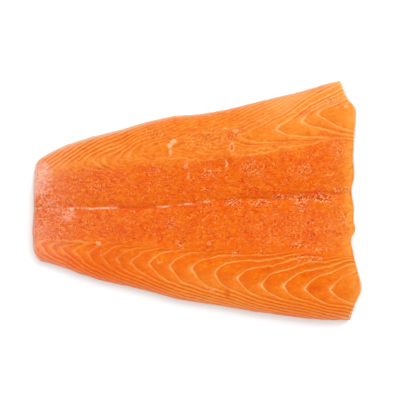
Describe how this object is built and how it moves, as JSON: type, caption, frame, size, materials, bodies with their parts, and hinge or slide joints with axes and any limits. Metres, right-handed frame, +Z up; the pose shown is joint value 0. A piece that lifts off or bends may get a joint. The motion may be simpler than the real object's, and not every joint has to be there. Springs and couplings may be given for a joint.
{
  "type": "salmon fillet",
  "caption": "Raw salmon fillet portion, tail half of a side, boned and skinless, tapering from a broad head-side cut to a narrow tail cut, lying flat with its flesh side up.",
  "frame": {"origin": "centre of the bounding box of the flat underside, on the surface that the fillet lies on", "axes": "+X from the narrow tail cut to the broad head-side cut, +Y from the back edge to the belly edge, +Z up out of the flesh side"},
  "size_m": [0.1998, 0.146, 0.0245],
  "materials": {
    "flesh": "moist raw fish flesh, orange with pale cream fat lines, softly glossy"
  },
  "bodies": {
    "root": {"salmon_fillet": "flesh"}
  },
  "joints": []
}
